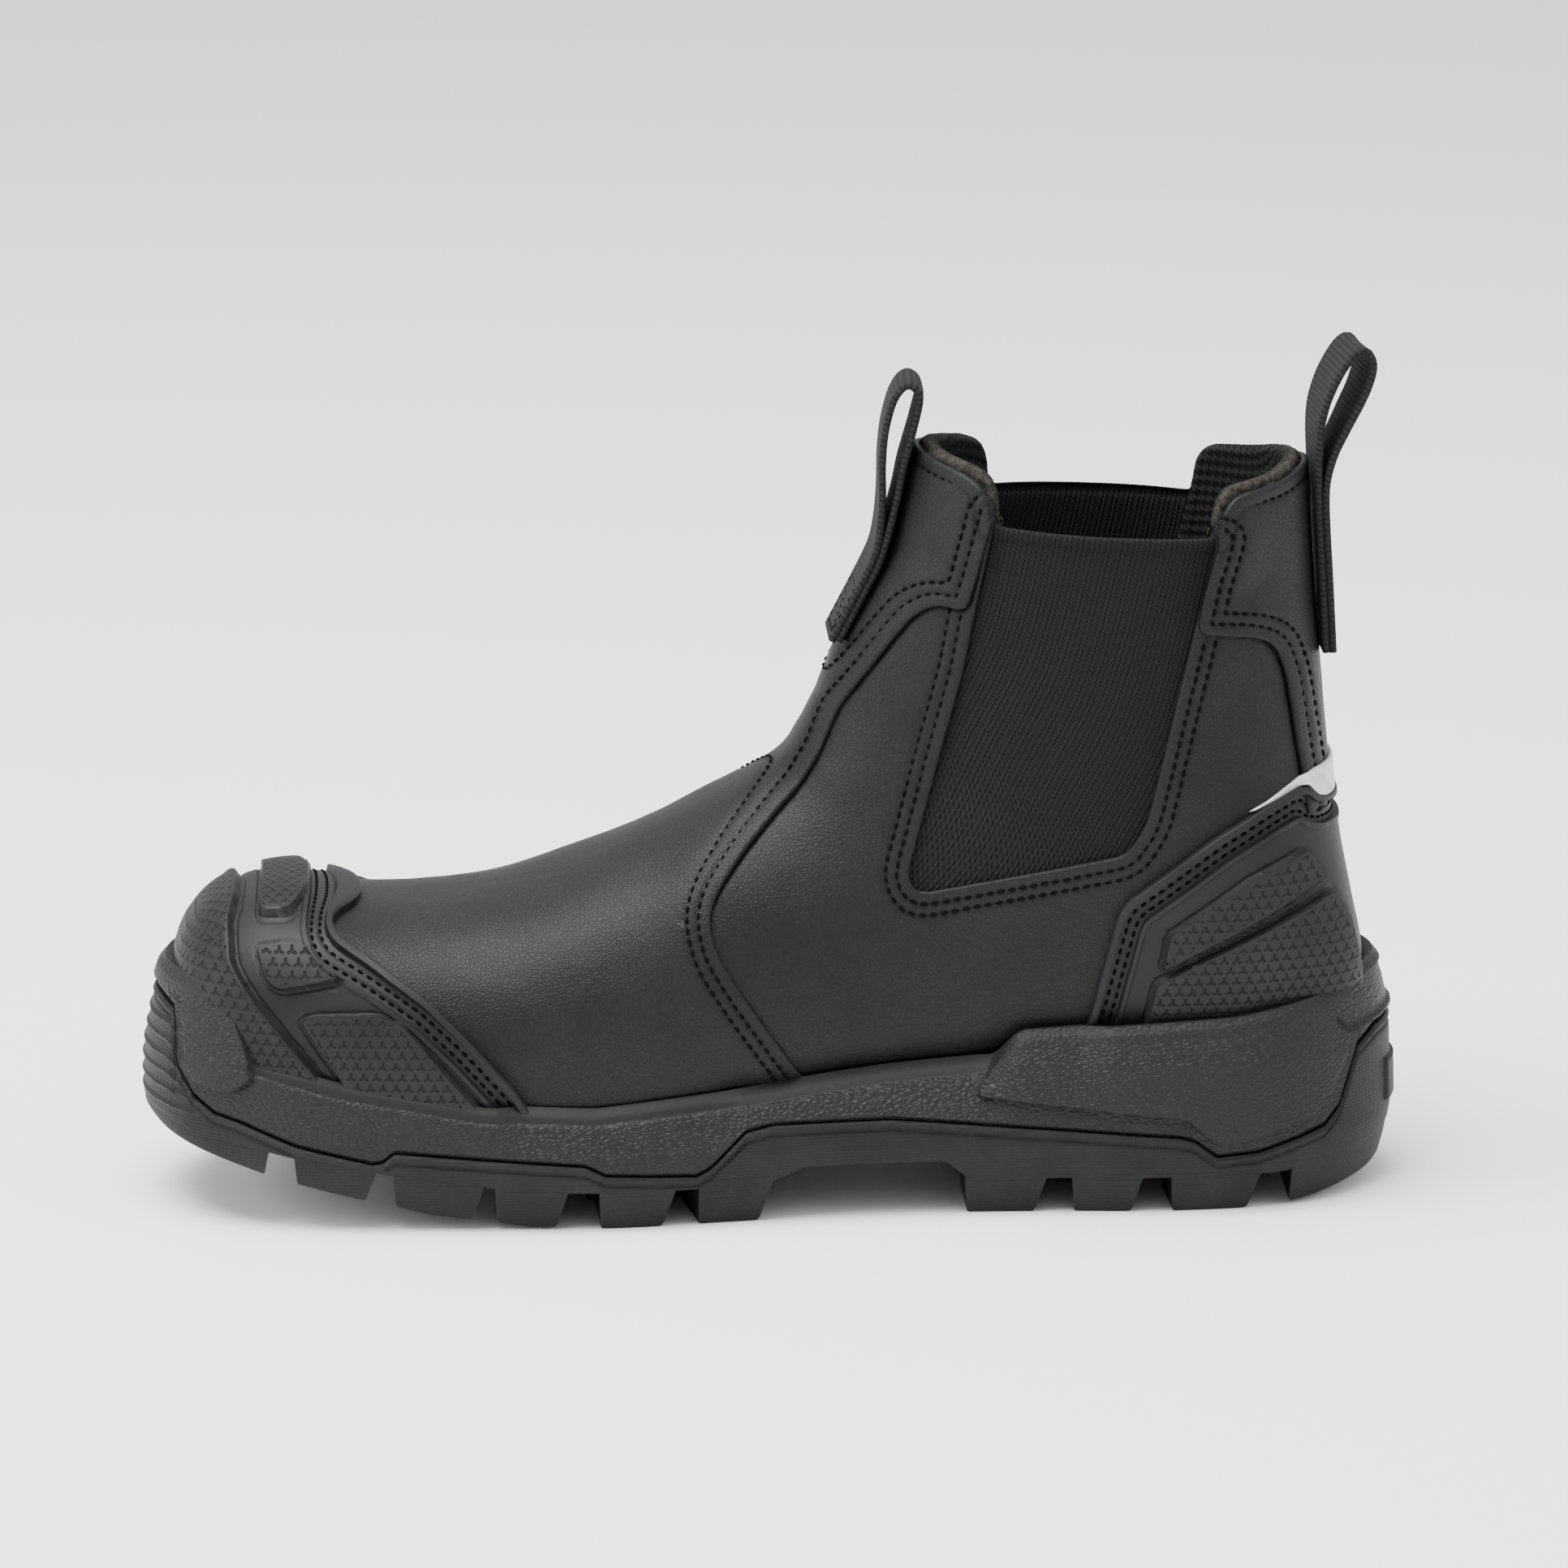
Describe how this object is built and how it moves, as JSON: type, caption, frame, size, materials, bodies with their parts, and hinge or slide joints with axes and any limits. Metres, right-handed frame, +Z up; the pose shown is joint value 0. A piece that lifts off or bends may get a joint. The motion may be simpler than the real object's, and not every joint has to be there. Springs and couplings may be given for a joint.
{
  "type": "steel toe work boot",
  "caption": "Pull-on safety boot with elastic sides, a steel toe under moulded toe and heel guards, webbing pull loops and a lugged sole.",
  "frame": {"origin": "on the ground, under the centre of the boot's overall box", "axes": "+Z up from the tread, -X towards the toe, -Y towards the inner (medial) side of this right boot"},
  "size_m": [0.3086, 0.1104, 0.2095],
  "materials": {
    "outsole_rubber": "matt, fine moulded texture",
    "midsole_foam": "matt, moulded leather-like grain",
    "spring_steel": "cold rolled",
    "inner_foam": "foam backed with cloth",
    "fibre_board": "pressed fibre board",
    "footbed_fabric": "foam with a cloth top",
    "cap_steel": "pressed and powder coated",
    "lining_mesh": "knitted spacer mesh",
    "elastic": "woven elastic with a fine twill",
    "upper_leather": "full grain, waxed, semi-matt",
    "guard_rubber": "moulded, smooth with textured pads",
    "reflective_tape": "silver reflective",
    "webbing": "ribbed webbing"
  },
  "bodies": {
    "root": {"outsole": "outsole_rubber", "midsole": "midsole_foam", "steel_shank": "spring_steel", "bottom_filler": "inner_foam", "insole_board": "fibre_board", "steel_toe_cap": "cap_steel", "toe_cap_edge_strip": "inner_foam", "vamp_padding": "inner_foam", "heel_counter": "fibre_board", "collar_padding": "inner_foam", "front_lining": "lining_mesh", "rear_lining": "lining_mesh", "elastic_gore_inner": "elastic", "elastic_gore_outer": "elastic", "vamp": "upper_leather", "quarter_inner": "upper_leather", "quarter_outer": "upper_leather", "backstay": "upper_leather", "toe_guard": "guard_rubber", "heel_guard": "guard_rubber", "reflective_heel_tape": "reflective_tape", "front_loop_foot": "webbing", "rear_loop_foot": "webbing"},
    "front_loop": {"front_pull_loop": "webbing"},
    "rear_loop": {"rear_pull_loop": "webbing"},
    "footbed": {"footbed": "footbed_fabric"}
  },
  "joints": [
    {"name": "front_loop_fold", "type": "hinge", "parent": "root", "child": "front_loop", "pos_m": [0.022, -0.00377, 0.153], "axis": [0, -1, 0], "range_deg": [0, 75]},
    {"name": "rear_loop_fold", "type": "hinge", "parent": "root", "child": "rear_loop", "pos_m": [0.1386, -0.00377, 0.16], "axis": [0, 1, 0], "range_deg": [0, 75]},
    {"name": "footbed_lift", "type": "hinge", "parent": "root", "child": "footbed", "pos_m": [-0.134, -0.00377, 0.03], "axis": [0, -1, 0], "range_deg": [0, 3]}
  ]
}
